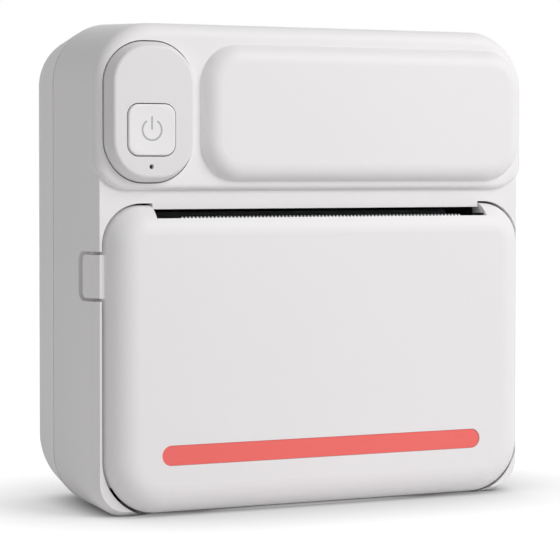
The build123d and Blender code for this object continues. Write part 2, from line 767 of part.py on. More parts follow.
# ---- Electronics on the board ----
with BuildPart() as main_board:
    with BuildSketch(Plane.XZ.offset(-board_back_y)):
        with Locations((0, board_z)):
            Rectangle(2 * board_half_width, board_height)
        # Corners cut away round the case screws.
        with Locations(*[(side * board_half_width, board_z + board_height / 2) for side in (-1, 1)]):
            Rectangle(
                2 * (board_half_width - case_screw_x + board_notch_radius),
                2 * (board_z + board_height / 2 - case_screw_high_z + board_notch_radius),
                mode=Mode.SUBTRACT,
            )
        with Locations(*board_screw_places):
            Circle(small_screw_radius + running_gap, mode=Mode.SUBTRACT)
    extrude(amount=board_thickness)
    # Controller, memory and the power stage on the back face.
    with BuildSketch(Plane.XZ.offset(-board_back_y)):
        for x, size in chips:
            with Locations((x, board_z)):
                Rectangle(size, size)
    extrude(amount=-chip_height)
main_board.part.label = "main_board"
export_step(main_board.part, "parts/main_board.step")

with BuildPart() as board_screws:
    with BuildSketch(Plane.XZ.offset(-board_back_y)):
        with Locations(*board_screw_places):
            Circle(small_head_radius)
    extrude(amount=-small_head_height)
    with BuildSketch(Plane.XZ.offset(-board_back_y)):
        with Locations(*board_screw_places):
            Circle(small_screw_radius - seat_gap / 2)
    extrude(amount=board_thickness + board_back / 2 - seat_gap)
board_screws.part.label = "board_screws"
export_step(board_screws.part, "parts/board_screws.step")

with BuildPart() as usb_socket:
    with BuildSketch(Plane.YZ.offset(usb_x - usb_wall - usb_depth)):
        with Locations((usb_y, usb_z)):
            RectangleRounded(usb_height, usb_width, usb_height / 2.1)
    extrude(amount=usb_depth)
    with BuildSketch(Plane.YZ.offset(usb_x - usb_wall)):
        with Locations((usb_y, usb_z)):
            RectangleRounded(usb_height - 2 * usb_wall, usb_width - 2 * usb_wall, usb_height / 2.1 - usb_wall)
    extrude(amount=-(usb_depth - usb_wall), mode=Mode.SUBTRACT)
    # Contact tongue in the middle of the shell.
    with BuildSketch(Plane.YZ.offset(usb_x - usb_wall - usb_depth)):
        with Locations((usb_y, usb_z)):
            Rectangle(usb_tongue_height, usb_tongue_width)
    extrude(amount=usb_tongue_depth)
usb_socket.part.label = "usb_socket"
export_step(usb_socket.part, "parts/usb_socket.step")

with BuildPart() as battery_cell:
    with BuildSketch(Plane.XY.offset(battery_z)):
        with Locations((battery_x, ledge_y + battery_back + battery_thickness / 2)):
            RectangleRounded(battery_width, battery_thickness, battery_thickness / 2.5)
    extrude(amount=battery_height)
battery_cell.part.label = "battery_cell"
export_step(battery_cell.part, "parts/battery_cell.step")

with BuildPart() as case_screws:
    with BuildSketch(Plane.XZ.offset(-case_screw_seat_y)):
        with Locations(*case_screw_places):
            Circle(screw_head_radius)
    extrude(amount=-screw_head_height)
    with BuildSketch(Plane.XZ.offset(-case_screw_seat_y)):
        with Locations(*case_screw_places):
            Circle(screw_radius)
    extrude(amount=case_screw_grip + case_screw_bite)
case_screws.part.label = "case_screws"
export_step(case_screws.part, "parts/case_screws.step")

# ---- Cover ----
with BuildPart() as tab:
    # The tab follows the side of the case. Its front runs into the cover's side wall.
    with BuildSketch(Plane.XY.offset(tab_center_z - tab_height / 2)):
        with BuildLine():
            Polyline(
                (-side_x(ledge_y) + rim_bevel, ledge_y),
                (-side_x(band_back_y), band_back_y),
                (-side_x(ledge_y + tab_reach), ledge_y + tab_reach),
                (-side_x(ledge_y + tab_reach) + tab_thickness, ledge_y + tab_reach),
                (-side_x(ledge_y) + tab_thickness, cover_back_y),
                (cover_left + cover_wall / 2, cover_back_y),
                (cover_left + cover_wall / 2, ledge_y),
                close=True,
            )
        make_face()
    extrude(amount=tab_height)
    tab_corners = tab.edges().filter_by(Axis.X, tolerance=10).sort_by(Axis.Y)[-2:]
    fillet(tab_corners, tab_corner_radius)

with BuildPart() as cover_shell:
    extrude(cover_outline(cover_back_y, 0), amount=cover_back_y - face_y)
    fillet(cover_shell.faces().sort_by(Axis.Y)[0].edges(), cover_edge_radius)
    extrude(cover_outline(cover_back_y, -cover_wall), amount=cover_back_y - cover_inner_y, mode=Mode.SUBTRACT)
    # Paper notch.
    with BuildSketch(Plane.XZ.offset(-cover_back_y)):
        with Locations((slot_x, slot_z)):
            Rectangle(slot_width, 2 * slot_drop, align=(Align.CENTER, Align.MIN))
    extrude(amount=case_depth, mode=Mode.SUBTRACT)
    # The low walls end in front of the hinge axis, so that they swing past the case.
    with BuildSketch(Plane.XZ.offset(-cover_back_y)):
        Rectangle(case_width, hinge_z, align=(Align.CENTER, Align.MIN))
    extrude(amount=cover_back_y - hinge_y + running_gap, mode=Mode.SUBTRACT)
    # Groove of the accent strip.
    with BuildSketch(Plane.XZ.offset(-(face_y + strip_depth))):
        with Locations((0, strip_center_z)):
            SlotOverall(strip_length, strip_height)
    extrude(amount=2 * strip_depth, mode=Mode.SUBTRACT)
    add(tab.part)
    # Hinge lugs.
    for spot in hinge_lug_spots:
        with BuildSketch(Plane.YZ.offset(spot - hinge_lug_width / 2)):
            with Locations((hinge_y, hinge_z)):
                Circle(hinge_eye_radius)
            with Locations((hinge_y, hinge_z)):
                Rectangle(
                    hinge_y - cover_inner_y + cover_wall / 4,
                    2 * hinge_eye_radius,
                    align=(Align.MAX, Align.CENTER),
                )
        extrude(amount=hinge_lug_width)
        with BuildSketch(Plane.YZ.offset(spot - hinge_lug_width / 2)):
            with Locations((hinge_y, hinge_z)):
                Circle(hinge_pin_radius + seat_gap / 4)
        extrude(amount=hinge_lug_width, mode=Mode.SUBTRACT)
    # Pilot holes of the liner's screws.
    with BuildSketch(Plane.XZ.offset(-cover_inner_y)):
        with Locations(*liner_screw_places):
            Circle(small_screw_radius)
    extrude(amount=liner_screw_bite + seat_gap, mode=Mode.SUBTRACT)
cover_shell.part.label = "cover_shell"
export_step(cover_shell.part, "parts/cover_shell.step")

with BuildPart() as accent_strip:
    with BuildSketch(Plane.XZ.offset(-(face_y + strip_depth))):
        with Locations((0, strip_center_z)):
            SlotOverall(strip_length - seat_gap, strip_height - seat_gap)
    extrude(amount=strip_depth - strip_recess)
accent_strip.part.label = "accent_strip"
export_step(accent_strip.part, "parts/accent_strip.step")

with BuildPart() as cover_liner:
    with BuildSketch(Plane.XZ.offset(-liner_back_y)):
        with Locations((0, (liner_bottom + liner_top) / 2)):
            RectangleRounded(liner_width, liner_top - liner_bottom, liner_screw_margin)
    extrude(amount=liner_thickness)
    # Arms that carry the platen in its bushes.
    for side in (-1, 1):
        with BuildSketch(Plane.YZ.offset(side * arm_x - bush_width / 2)):
            with Locations(platen_center):
                Circle(arm_radius)
            with Locations(platen_center):
                Rectangle(platen_y - liner_front_y, 2 * arm_radius, align=(Align.MAX, Align.CENTER))
            with Locations((liner_back_y, platen_z - arm_radius)):
                Rectangle(liner_thickness, 2 * arm_radius, align=(Align.MAX, Align.CENTER))
        extrude(amount=bush_width)
        with BuildSketch(Plane.YZ.offset(side * arm_x - bush_width / 2)):
            with Locations(platen_center):
                Circle(bush_radius)
        extrude(amount=bush_width, mode=Mode.SUBTRACT)
    # The arms stop at the cover's wall.
    with BuildSketch(Plane.XZ.offset(-liner_front_y)):
        Rectangle(case_width, 2 * case_height)
    extrude(amount=cover_proud, mode=Mode.SUBTRACT)
    # Paper guide rib, with gussets below it.
    with BuildSketch(Plane.XY.offset(guide_z - guide_thickness)):
        with Locations((0, liner_front_y + liner_thickness / 2)):
            Rectangle(roll_width, guide_depth + liner_thickness / 2, align=(Align.CENTER, Align.MIN))
    extrude(amount=guide_thickness)
    for x in (-hinge_x, 0, hinge_x):
        with BuildSketch(Plane.YZ.offset(x - guide_thickness / 2)):
            with BuildLine():
                Polyline(
                    (liner_back_y - liner_thickness / 2, guide_z - guide_thickness / 2),
                    (liner_back_y + guide_depth / 2, guide_z - guide_thickness / 2),
                    (liner_back_y - liner_thickness / 2, guide_z - 2 * guide_depth),
                    close=True,
                )
            make_face()
        extrude(amount=guide_thickness)
    with BuildSketch(Plane.XZ.offset(-liner_back_y)):
        with Locations(*liner_screw_places):
            Circle(small_screw_radius + running_gap)
    extrude(amount=liner_thickness, mode=Mode.SUBTRACT)
cover_liner.part.label = "cover_liner"
export_step(cover_liner.part, "parts/cover_liner.step")

with BuildPart() as liner_screws:
    with BuildSketch(Plane.XZ.offset(-liner_back_y)):
        with Locations(*liner_screw_places):
            Circle(small_head_radius)
    extrude(amount=-small_head_height)
    with BuildSketch(Plane.XZ.offset(-liner_back_y)):
        with Locations(*liner_screw_places):
            Circle(small_screw_radius - seat_gap / 2)
    extrude(amount=liner_thickness + liner_screw_bite)
liner_screws.part.label = "liner_screws"
export_step(liner_screws.part, "parts/liner_screws.step")

with BuildPart() as tear_bar:
    teeth_width = roll_width - 2 * teeth_margin
    tooth_count = int(teeth_width / teeth_pitch)
    teeth_foot_z = slot_z + teeth_rise - teeth_height
    tear_bar_foot_z = liner_top + seat_gap
    tips = []
    for index in range(tooth_count):
        left = slot_x - teeth_width / 2 + index * teeth_pitch
        tips.append((left, teeth_foot_z))
        tips.append((left + teeth_pitch / 2, teeth_foot_z + teeth_height))
    with BuildSketch(Plane.XZ.offset(-(liner_front_y + tear_bar_thickness))):
        with BuildLine():
            Polyline(
                (slot_x - teeth_width / 2, tear_bar_foot_z),
                *tips,
                (slot_x + teeth_width / 2, teeth_foot_z),
                (slot_x + teeth_width / 2, tear_bar_foot_z),
                close=True,
            )
        make_face()
    extrude(amount=tear_bar_thickness)
tear_bar.part.label = "tear_bar"
export_step(tear_bar.part, "parts/tear_bar.step")

with BuildPart() as hinge_pins:
    for side in (-1, 1):
        with BuildSketch(Plane.YZ.offset(side * hinge_x - hinge_lug_offset - hinge_lug_width / 2)):
            with Locations((hinge_y, hinge_z)):
                Circle(hinge_pin_radius)
        extrude(amount=2 * hinge_lug_offset + hinge_lug_width)
hinge_pins.part.label = "hinge_pins"
export_step(hinge_pins.part, "parts/hinge_pins.step")

# ---- Platen ----
with BuildPart() as platen_bushes:
    for side in (-1, 1):
        with BuildSketch(Plane.YZ.offset(side * (arm_x - bush_width / 2))):
            with Locations(platen_center):
                Circle(bush_radius)
        extrude(amount=side * bush_width)
        with BuildSketch(Plane.YZ.offset(side * (arm_x + bush_width / 2))):
            with Locations(platen_center):
                Circle(bush_flange_radius)
        extrude(amount=side * bush_flange)
        with BuildSketch(Plane.YZ.offset(side * (arm_x - bush_width / 2))):
            with Locations(platen_center):
                Circle(platen_shaft_radius + running_gap)
        extrude(amount=side * (bush_width + bush_flange), mode=Mode.SUBTRACT)
platen_bushes.part.label = "platen_bushes"
export_step(platen_bushes.part, "parts/platen_bushes.step")

platen_left = frame_half_width + cheek_thickness + bush_flange
platen_length = platen_left + gear_x + gear_width
with BuildPart() as platen_shaft:
    with BuildSketch(Plane.YZ.offset(-platen_left)):
        with Locations(platen_center):
            Circle(platen_shaft_radius)
    extrude(amount=platen_length)
platen_shaft.part.label = "platen_shaft"
export_step(platen_shaft.part, "parts/platen_shaft.step")

rubber_half_width = roll_width / 2 + platen_rubber_margin
with BuildPart() as platen_rubber:
    with BuildSketch(Plane.YZ.offset(-rubber_half_width)):
        with Locations(platen_center):
            Circle(platen_radius)
            Circle(platen_shaft_radius, mode=Mode.SUBTRACT)
    extrude(amount=2 * rubber_half_width)
platen_rubber.part.label = "platen_rubber"
export_step(platen_rubber.part, "parts/platen_rubber.step")

with BuildPart() as platen_gear:
    extrude(gear_outline(gear_x, platen_center, platen_teeth, 0), amount=gear_width)
    with BuildSketch(Plane.YZ.offset(gear_x)):
        with Locations(platen_center):
            Circle(platen_shaft_radius)
    extrude(amount=gear_width, mode=Mode.SUBTRACT)
platen_gear.part.label = "platen_gear"
export_step(platen_gear.part, "parts/platen_gear.step")

# ---- Gear train ----
with BuildPart() as idler_gear:
    extrude(gear_outline(gear_x, idler_center, idler_teeth, idler_tooth), amount=gear_width)
    with BuildSketch(Plane.YZ.offset(gear_x)):
        with Locations(idler_center):
            Circle(gear_post_radius + running_gap)
    extrude(amount=gear_width, mode=Mode.SUBTRACT)
idler_gear.part.label = "idler_gear"
export_step(idler_gear.part, "parts/idler_gear.step")

with BuildPart() as reduction_gear:
    extrude(
        gear_outline(gear_x, reduction_center, reduction_small_teeth, reduction_small_tooth),
        amount=gear_width + gear_layer_gap,
    )
    extrude(
        gear_outline(outer_gear_x, reduction_center, reduction_large_teeth, reduction_small_tooth),
        amount=gear_width,
    )
    with BuildSketch(Plane.YZ.offset(gear_x)):
        with Locations(reduction_center):
            Circle(gear_post_radius + running_gap)
    extrude(amount=2 * gear_width + gear_layer_gap, mode=Mode.SUBTRACT)
reduction_gear.part.label = "reduction_gear"
export_step(reduction_gear.part, "parts/reduction_gear.step")

with BuildPart() as motor_pinion:
    extrude(gear_outline(outer_gear_x, pinion_center, pinion_teeth, pinion_tooth), amount=gear_width)
    with BuildSketch(Plane.YZ.offset(outer_gear_x)):
        with Locations(pinion_center):
            Circle(motor_shaft_radius)
    extrude(amount=gear_width, mode=Mode.SUBTRACT)
motor_pinion.part.label = "motor_pinion"
export_step(motor_pinion.part, "parts/motor_pinion.step")

with BuildPart() as gear_posts:
    for center, post_end in ((idler_center, idler_post_end), (reduction_center, reduction_post_end)):
        with BuildSketch(Plane.YZ.offset(frame_half_width)):
            with Locations(center):
                Circle(gear_post_radius)
        extrude(amount=post_end - frame_half_width)
gear_posts.part.label = "gear_posts"
export_step(gear_posts.part, "parts/gear_posts.step")

# ---- Motor ----
with BuildPart() as stepper_motor:
    with BuildSketch(Plane.YZ.offset(motor_x)):
        with Locations(pinion_center):
            Circle(motor_radius)
    extrude(amount=-motor_length)
    with BuildSketch(Plane.YZ.offset(motor_x)):
        for ear in motor_ears:
            with BuildLine():
                Line(pinion_center, ear)
            trace(line_width=2 * motor_ear_radius)
            with Locations(ear):
                Circle(motor_ear_radius)
        with Locations(*motor_ears):
            Circle(small_screw_radius + running_gap, mode=Mode.SUBTRACT)
    extrude(amount=-motor_flange)
    with BuildSketch(Plane.YZ.offset(motor_x)):
        with Locations(pinion_center):
            Circle(motor_shaft_radius + running_gap)
    extrude(amount=-motor_length / 2, mode=Mode.SUBTRACT)
stepper_motor.part.label = "stepper_motor"
export_step(stepper_motor.part, "parts/stepper_motor.step")

with BuildPart() as motor_shaft:
    with BuildSketch(Plane.YZ.offset(motor_x - motor_length / 2 + 2 * motor_flange)):
        with Locations(pinion_center):
            Circle(motor_shaft_radius)
    extrude(amount=outer_gear_x + gear_width - motor_x + motor_length / 2 - 2 * motor_flange)
motor_shaft.part.label = "motor_shaft"
export_step(motor_shaft.part, "parts/motor_shaft.step")

with BuildPart() as motor_screws:
    with BuildSketch(Plane.YZ.offset(motor_x - motor_flange)):
        with Locations(*motor_ears):
            Circle(small_head_radius)
    extrude(amount=-small_head_height)
    with BuildSketch(Plane.YZ.offset(motor_x - motor_flange)):
        with Locations(*motor_ears):
            Circle(small_screw_radius - seat_gap / 2)
    extrude(amount=motor_flange + seat_gap + cheek_thickness)
motor_screws.part.label = "motor_screws"
export_step(motor_screws.part, "parts/motor_screws.step")

# ---- Print head ----
with BuildPart() as thermal_head:
    with BuildSketch(head_plane.offset(-head_width / 2)):
        with Locations((-ceramic_front, head_gap)):
            Rectangle(ceramic_front + ceramic_back, ceramic_thickness, align=(Align.MIN, Align.MIN))
    extrude(amount=head_width)
thermal_head.part.label = "thermal_head"
export_step(thermal_head.part, "parts/thermal_head.step")

with BuildPart() as head_heat_sink:
    with BuildSketch(head_plane.offset(-head_width / 2)):
        with Locations((-sink_front, sink_low)):
            Rectangle(sink_front + head_pivot_back, sink_thickness, align=(Align.MIN, Align.MIN))
        with Locations((head_pivot_back, head_pivot_height)):
            Circle(pivot_boss_radius)
            Circle(pivot_pin_radius + running_gap, mode=Mode.SUBTRACT)
    extrude(amount=head_width)
head_heat_sink.part.label = "head_heat_sink"
export_step(head_heat_sink.part, "parts/head_heat_sink.step")

with BuildPart() as head_pivot_pin:
    with BuildSketch(Plane.YZ.offset(-(frame_half_width + cheek_thickness))):
        with Locations((pivot_point.Y, pivot_point.Z)):
            Circle(pivot_pin_radius)
    extrude(amount=2 * (frame_half_width + cheek_thickness))
head_pivot_pin.part.label = "head_pivot_pin"
export_step(head_pivot_pin.part, "parts/head_pivot_pin.step")

leaf_top = spring_plate_height - leaf_thickness / 2
leaf_low = sink_high + spring_clearance + leaf_thickness / 2
with BuildPart() as head_spring:
    with BuildSketch(head_plane.offset(-leaf_width / 2)):
        with BuildLine():
            Polyline(
                (spring_plate_back, leaf_top),
                (-spring_plate_front, leaf_top),
                (spring_plate_back / 2, leaf_low),
                (spring_plate_back, leaf_low),
            )
        trace(line_width=leaf_thickness)
    leaf = extrude(amount=leaf_width, mode=Mode.PRIVATE)
    for x in (-leaf_pitch, 0, leaf_pitch):
        add(Location((x, 0, 0)) * leaf)
head_spring.part.label = "head_spring"
export_step(head_spring.part, "parts/head_spring.step")

# ---- Mechanism frame ----
with BuildPart() as mechanism_frame:
    for side in (-1, 1):
        with BuildSketch(Plane.YZ.offset(side * frame_half_width)):
            with Locations((frame_front_y, frame_bottom)):
                Rectangle(frame_length, frame_height, align=(Align.MIN, Align.MIN))
            # Slot open to the front, for the end of the platen's shaft.
            with Locations(platen_center):
                Circle(frame_slot_half_width, mode=Mode.SUBTRACT)
                Rectangle(
                    2 * platen_back,
                    2 * frame_slot_half_width,
                    align=(Align.MAX, Align.CENTER),
                    mode=Mode.SUBTRACT,
                )
            with Locations((pivot_point.Y, pivot_point.Z)):
                Circle(pivot_pin_radius, mode=Mode.SUBTRACT)
        extrude(amount=side * cheek_thickness)
        # Foot flange on the bin.
        with BuildSketch(Plane.XY.offset(frame_bottom)):
            with Locations((side * (frame_half_width - frame_flange_width / 2), ledge_y + frame_flange_back)):
                Rectangle(frame_flange_width, frame_flange_length, align=(Align.CENTER, Align.MIN))
        extrude(amount=cheek_thickness)
    with BuildSketch(Plane.YZ.offset(frame_half_width)):
        with Locations(pinion_center):
            Circle(motor_shaft_hole)
        with Locations(*motor_ears):
            Circle(small_screw_radius)
        with Locations(idler_center, reduction_center):
            Circle(gear_post_radius)
    extrude(amount=cheek_thickness, mode=Mode.SUBTRACT)
    # Back plate and spring plate between the cheeks.
    with BuildSketch(Plane.YZ.offset(-frame_half_width)):
        with Locations((frame_back_y - cheek_thickness, frame_bottom + cheek_thickness)):
            Rectangle(cheek_thickness, back_plate_height, align=(Align.MIN, Align.MIN))
    extrude(amount=2 * frame_half_width)
    with BuildSketch(head_plane.offset(-frame_half_width)):
        with Locations((-spring_plate_front, spring_plate_height)):
            Rectangle(spring_plate_front + spring_plate_back, cheek_thickness, align=(Align.MIN, Align.MIN))
    extrude(amount=2 * frame_half_width)
    with BuildSketch(Plane.XY.offset(frame_bottom)):
        with Locations(*frame_screw_places):
            Circle(small_screw_radius + running_gap)
    extrude(amount=cheek_thickness, mode=Mode.SUBTRACT)
mechanism_frame.part.label = "mechanism_frame"
export_step(mechanism_frame.part, "parts/mechanism_frame.step")

with BuildPart() as frame_screws:
    with BuildSketch(Plane.XY.offset(frame_bottom + cheek_thickness)):
        with Locations(*frame_screw_places):
            Circle(small_head_radius)
    extrude(amount=small_head_height)
    with BuildSketch(Plane.XY.offset(frame_bottom + cheek_thickness)):
        with Locations(*frame_screw_places):
            Circle(small_screw_radius - seat_gap / 2)
    extrude(amount=-(2 * cheek_thickness + bin_wall))
frame_screws.part.label = "frame_screws"
export_step(frame_screws.part, "parts/frame_screws.step")

# ---- Paper bin ----
with BuildPart() as paper_bin:
    with BuildSketch(Plane.YZ.offset(-(bin_half_width + bin_wall))):
        with Locations((bin_y, bin_z)):
            Circle(bin_radius + bin_wall)
            Rectangle(2 * (bin_radius + bin_wall), bin_height - bin_z, align=(Align.CENTER, Align.MIN))
        with Locations((bin_y, bin_z - bin_radius - bin_wall)):
            Rectangle(bin_foot, bin_radius, align=(Align.CENTER, Align.MIN))
        with Locations((ledge_y + bin_mouth, 0)):
            Rectangle(case_depth, 2 * case_height, align=(Align.MAX, Align.CENTER), mode=Mode.SUBTRACT)
    extrude(amount=2 * (bin_half_width + bin_wall))
    # Shanks and eyes of the hinge.
    for side in (-1, 1):
        with BuildSketch(Plane.YZ.offset(side * hinge_x - hinge_eye_width / 2)):
            with Locations((hinge_y, hinge_z + seat_gap)):
                Rectangle(
                    ledge_y + bin_mouth + bin_wall - hinge_y, shank_height, align=(Align.MIN, Align.MIN)
                )
            with Locations((hinge_y, hinge_z)):
                Circle(hinge_eye_radius)
        extrude(amount=hinge_eye_width)
        with BuildSketch(Plane.YZ.offset(side * hinge_x - hinge_eye_width / 2)):
            with Locations((hinge_y, hinge_z)):
                Circle(hinge_pin_radius + running_gap)
        extrude(amount=hinge_eye_width, mode=Mode.SUBTRACT)
        # Flange that carries the mechanism frame.
        with BuildSketch(Plane.XY.offset(bin_height - bin_wall)):
            with Locations((side * (bin_half_width + bin_flange_width / 2), ledge_y + bin_flange_back)):
                Rectangle(bin_flange_width, bin_flange_length, align=(Align.CENTER, Align.MIN))
        extrude(amount=bin_wall)
    with BuildSketch(Plane.YZ.offset(-bin_half_width)):
        with Locations((bin_y, bin_z)):
            Circle(bin_radius)
            Rectangle(2 * bin_radius, bin_height, align=(Align.CENTER, Align.MIN))
    extrude(amount=2 * bin_half_width, mode=Mode.SUBTRACT)
    with BuildSketch(Plane.XY.offset(bin_height)):
        with Locations(*frame_screw_places):
            Circle(small_screw_radius)
    extrude(amount=-bin_wall, mode=Mode.SUBTRACT)
paper_bin.part.label = "paper_bin"
export_step(paper_bin.part, "parts/paper_bin.step")
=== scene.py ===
import logging
import math
from dataclasses import dataclass, field
from enum import Enum

import bmesh
import bpy
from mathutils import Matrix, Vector


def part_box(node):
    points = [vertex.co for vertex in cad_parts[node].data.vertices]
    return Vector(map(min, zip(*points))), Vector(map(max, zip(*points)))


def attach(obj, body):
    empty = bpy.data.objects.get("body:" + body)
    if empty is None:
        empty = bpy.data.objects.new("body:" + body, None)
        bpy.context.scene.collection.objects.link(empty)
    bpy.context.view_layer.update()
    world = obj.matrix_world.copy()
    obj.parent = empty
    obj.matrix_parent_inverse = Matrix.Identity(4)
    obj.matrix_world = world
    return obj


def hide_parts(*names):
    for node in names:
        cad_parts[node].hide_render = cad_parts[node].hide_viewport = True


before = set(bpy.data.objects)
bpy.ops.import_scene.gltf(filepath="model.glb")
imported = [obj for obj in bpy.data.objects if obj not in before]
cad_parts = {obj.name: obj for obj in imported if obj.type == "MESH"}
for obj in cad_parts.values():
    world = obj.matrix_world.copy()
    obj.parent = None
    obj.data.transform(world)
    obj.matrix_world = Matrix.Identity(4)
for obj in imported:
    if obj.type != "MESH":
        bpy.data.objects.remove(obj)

# A pocket thermal printer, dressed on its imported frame. Sizes in this file are in millimetres and
# are turned into metres where a mesh, a light or a pattern is made.

log = logging.getLogger("printer")
MM = 0.001
WHITE = (1.0, 1.0, 1.0, 1.0)
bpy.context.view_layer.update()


class Body(str, Enum):
    """Bodies of the frame that new pieces ride on."""

    ROOT = "root"
    COVER = "cover"
    BUTTON = "button"


class Facing(Enum):
    """Which way the heads of a set of screws point."""

    BACK = (0.0, 1.0, 0.0)
    UP = (0.0, 0.0, 1.0)
    LEFT = (-1.0, 0.0, 0.0)


# ---------------------------------------------------------------------------------------------
# Small helpers
# ---------------------------------------------------------------------------------------------


def linear(hex_colour: str, alpha: float = 1.0) -> tuple[float, float, float, float]:
    """Turns an sRGB hex colour into Blender's linear colour.

    Args:
        hex_colour: Six hex digits, with or without a leading #.
        alpha: The fourth value of the colour.

    Returns:
        Red, green, blue and alpha, linear.
    """
    digits = hex_colour.lstrip("#")
    values = [int(digits[i : i + 2], 16) / 255 for i in (0, 2, 4)]
    red, green, blue = (v / 12.92 if v <= 0.04045 else ((v + 0.055) / 1.055) ** 2.4 for v in values)
    return (red, green, blue, alpha)


def add_node(
    tree: bpy.types.NodeTree,
    kind: str,
    inputs: dict[str | int, object] | None = None,
    **settings: object,
) -> bpy.types.Node:
    """Adds one shader node with its settings, its constant inputs and its links.

    Args:
        tree: The node tree that gets the node.
        kind: The node's type name.
        inputs: Input name or number, and its value or the output socket that feeds it.
        **settings: Attributes of the node.

    Returns:
        The new node.
    """
    node = tree.nodes.new(kind)
    for name, value in settings.items():
        setattr(node, name, value)
    for key, value in (inputs or {}).items():
        socket = node.inputs[key]
        if isinstance(value, bpy.types.NodeSocket):
            tree.links.new(value, socket)
        else:
            socket.default_value = value
    return node


def seen_rays(tree: bpy.types.NodeTree) -> bpy.types.NodeSocket:
    """Tells the rays that show a background from the rays that light the printer.

    Args:
        tree: The node tree that gets the nodes.

    Returns:
        A socket that is 1 for camera, glossy and transmission rays, and 0 for all others.
    """
    rays = add_node(tree, "ShaderNodeLightPath").outputs
    direct = add_node(
        tree,
        "ShaderNodeMath",
        {0: rays["Is Camera Ray"], 1: rays["Is Glossy Ray"]},
        operation="MAXIMUM",
    ).outputs["Value"]
    return add_node(
        tree,
        "ShaderNodeMath",
        {0: direct, 1: rays["Is Transmission Ray"]},
        operation="MAXIMUM",
    ).outputs["Value"]


def empty_material(name: str) -> bpy.types.Material:
    """Makes a material with no nodes in it.

    Args:
        name: The material's name.

    Returns:
        The material, with its node tree ready for nodes.
    """
    material = bpy.data.materials.new(name)
    material.use_nodes = True
    material.node_tree.nodes.clear()
    return material


def dress(node: str, material: bpy.types.Material) -> None:
    """Gives a CAD node its finish.

    Args:
        node: Name of the CAD node.
        material: The finish.
    """
    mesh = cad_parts[node].data
    mesh.materials.clear()
    mesh.materials.append(material)
    log.info("dressed %s in %s", node, material.name)


def link_mesh(
    name: str, shape: bmesh.types.BMesh, material: bpy.types.Material
) -> bpy.types.Object:
    """Turns a bmesh into an object in the scene.

    Args:
        name: Name of the new piece.
        shape: Its faces, in metres. They are freed.
        material: The finish of the piece.

    Returns:
        The new object.
    """
    mesh = bpy.data.meshes.new(name)
    shape.to_mesh(mesh)
    shape.free()
    mesh.materials.append(material)
    piece = bpy.data.objects.new(name, mesh)
    bpy.context.scene.collection.objects.link(piece)
    return piece


# ---------------------------------------------------------------------------------------------
# Finishes
# ---------------------------------------------------------------------------------------------


@dataclass(frozen=True)
class MouldedPlastic:
    """Injection-moulded plastic: an even colour under a fine spark-eroded grain."""

    name: str
    colour: str
    roughness: float
    grain: float  # width of a grain, mm
    grain_height: float  # mm
    mottle: float = 0.012  # how much the colour drifts over the part
    drift_width: float = 25.0  # mm over which it drifts
    gloss_spread: float = 0.05  # how much the roughness differs from grain to grain
    ior: float = 1.5

    def build(self) -> bpy.types.Material:
        """Makes the material.

        Returns:
            The finished material.
        """
        material = empty_material(self.name)
        tree = material.node_tree
        place = add_node(tree, "ShaderNodeTexCoord").outputs["Object"]
        # Slow drift of colour that flow in the mould leaves.
        drift_scale = 1 / (self.drift_width * MM)
        drift = add_node(
            tree,
            "ShaderNodeTexNoise",
            {"Vector": place, "Scale": drift_scale, "Detail": 2.0, "Roughness": 0.4},
        ).outputs["Fac"]
        tone = add_node(
            tree,
            "ShaderNodeMapRange",
            {"Value": drift, "To Min": 1 - self.mottle, "To Max": 1 + self.mottle},
        ).outputs["Result"]
        colour = add_node(
            tree,
            "ShaderNodeVectorMath",
            {0: linear(self.colour)[:3], "Scale": tone},
            operation="SCALE",
        ).outputs["Vector"]
        # The grain itself. It is drawn about twice as wide as a real one, so that it shows.
        grain = add_node(
            tree,
            "ShaderNodeTexNoise",
            {"Vector": place, "Scale": 1 / (self.grain * MM), "Detail": 3.0, "Roughness": 0.55},
        ).outputs["Fac"]
        gloss = add_node(
            tree,
            "ShaderNodeMapRange",
            {
                "Value": grain,
                "To Min": self.roughness - self.gloss_spread,
                "To Max": self.roughness + self.gloss_spread,
            },
        ).outputs["Result"]
        relief = add_node(
            tree,
            "ShaderNodeBump",
            {"Height": grain, "Strength": 1.0, "Distance": self.grain_height * MM},
        ).outputs["Normal"]
        shader = add_node(
            tree,
            "ShaderNodeBsdfPrincipled",
            {"Base Color": colour, "Roughness": gloss, "Normal": relief, "IOR": self.ior},
        )
        add_node(tree, "ShaderNodeOutputMaterial", {"Surface": shader.outputs["BSDF"]})
        return material


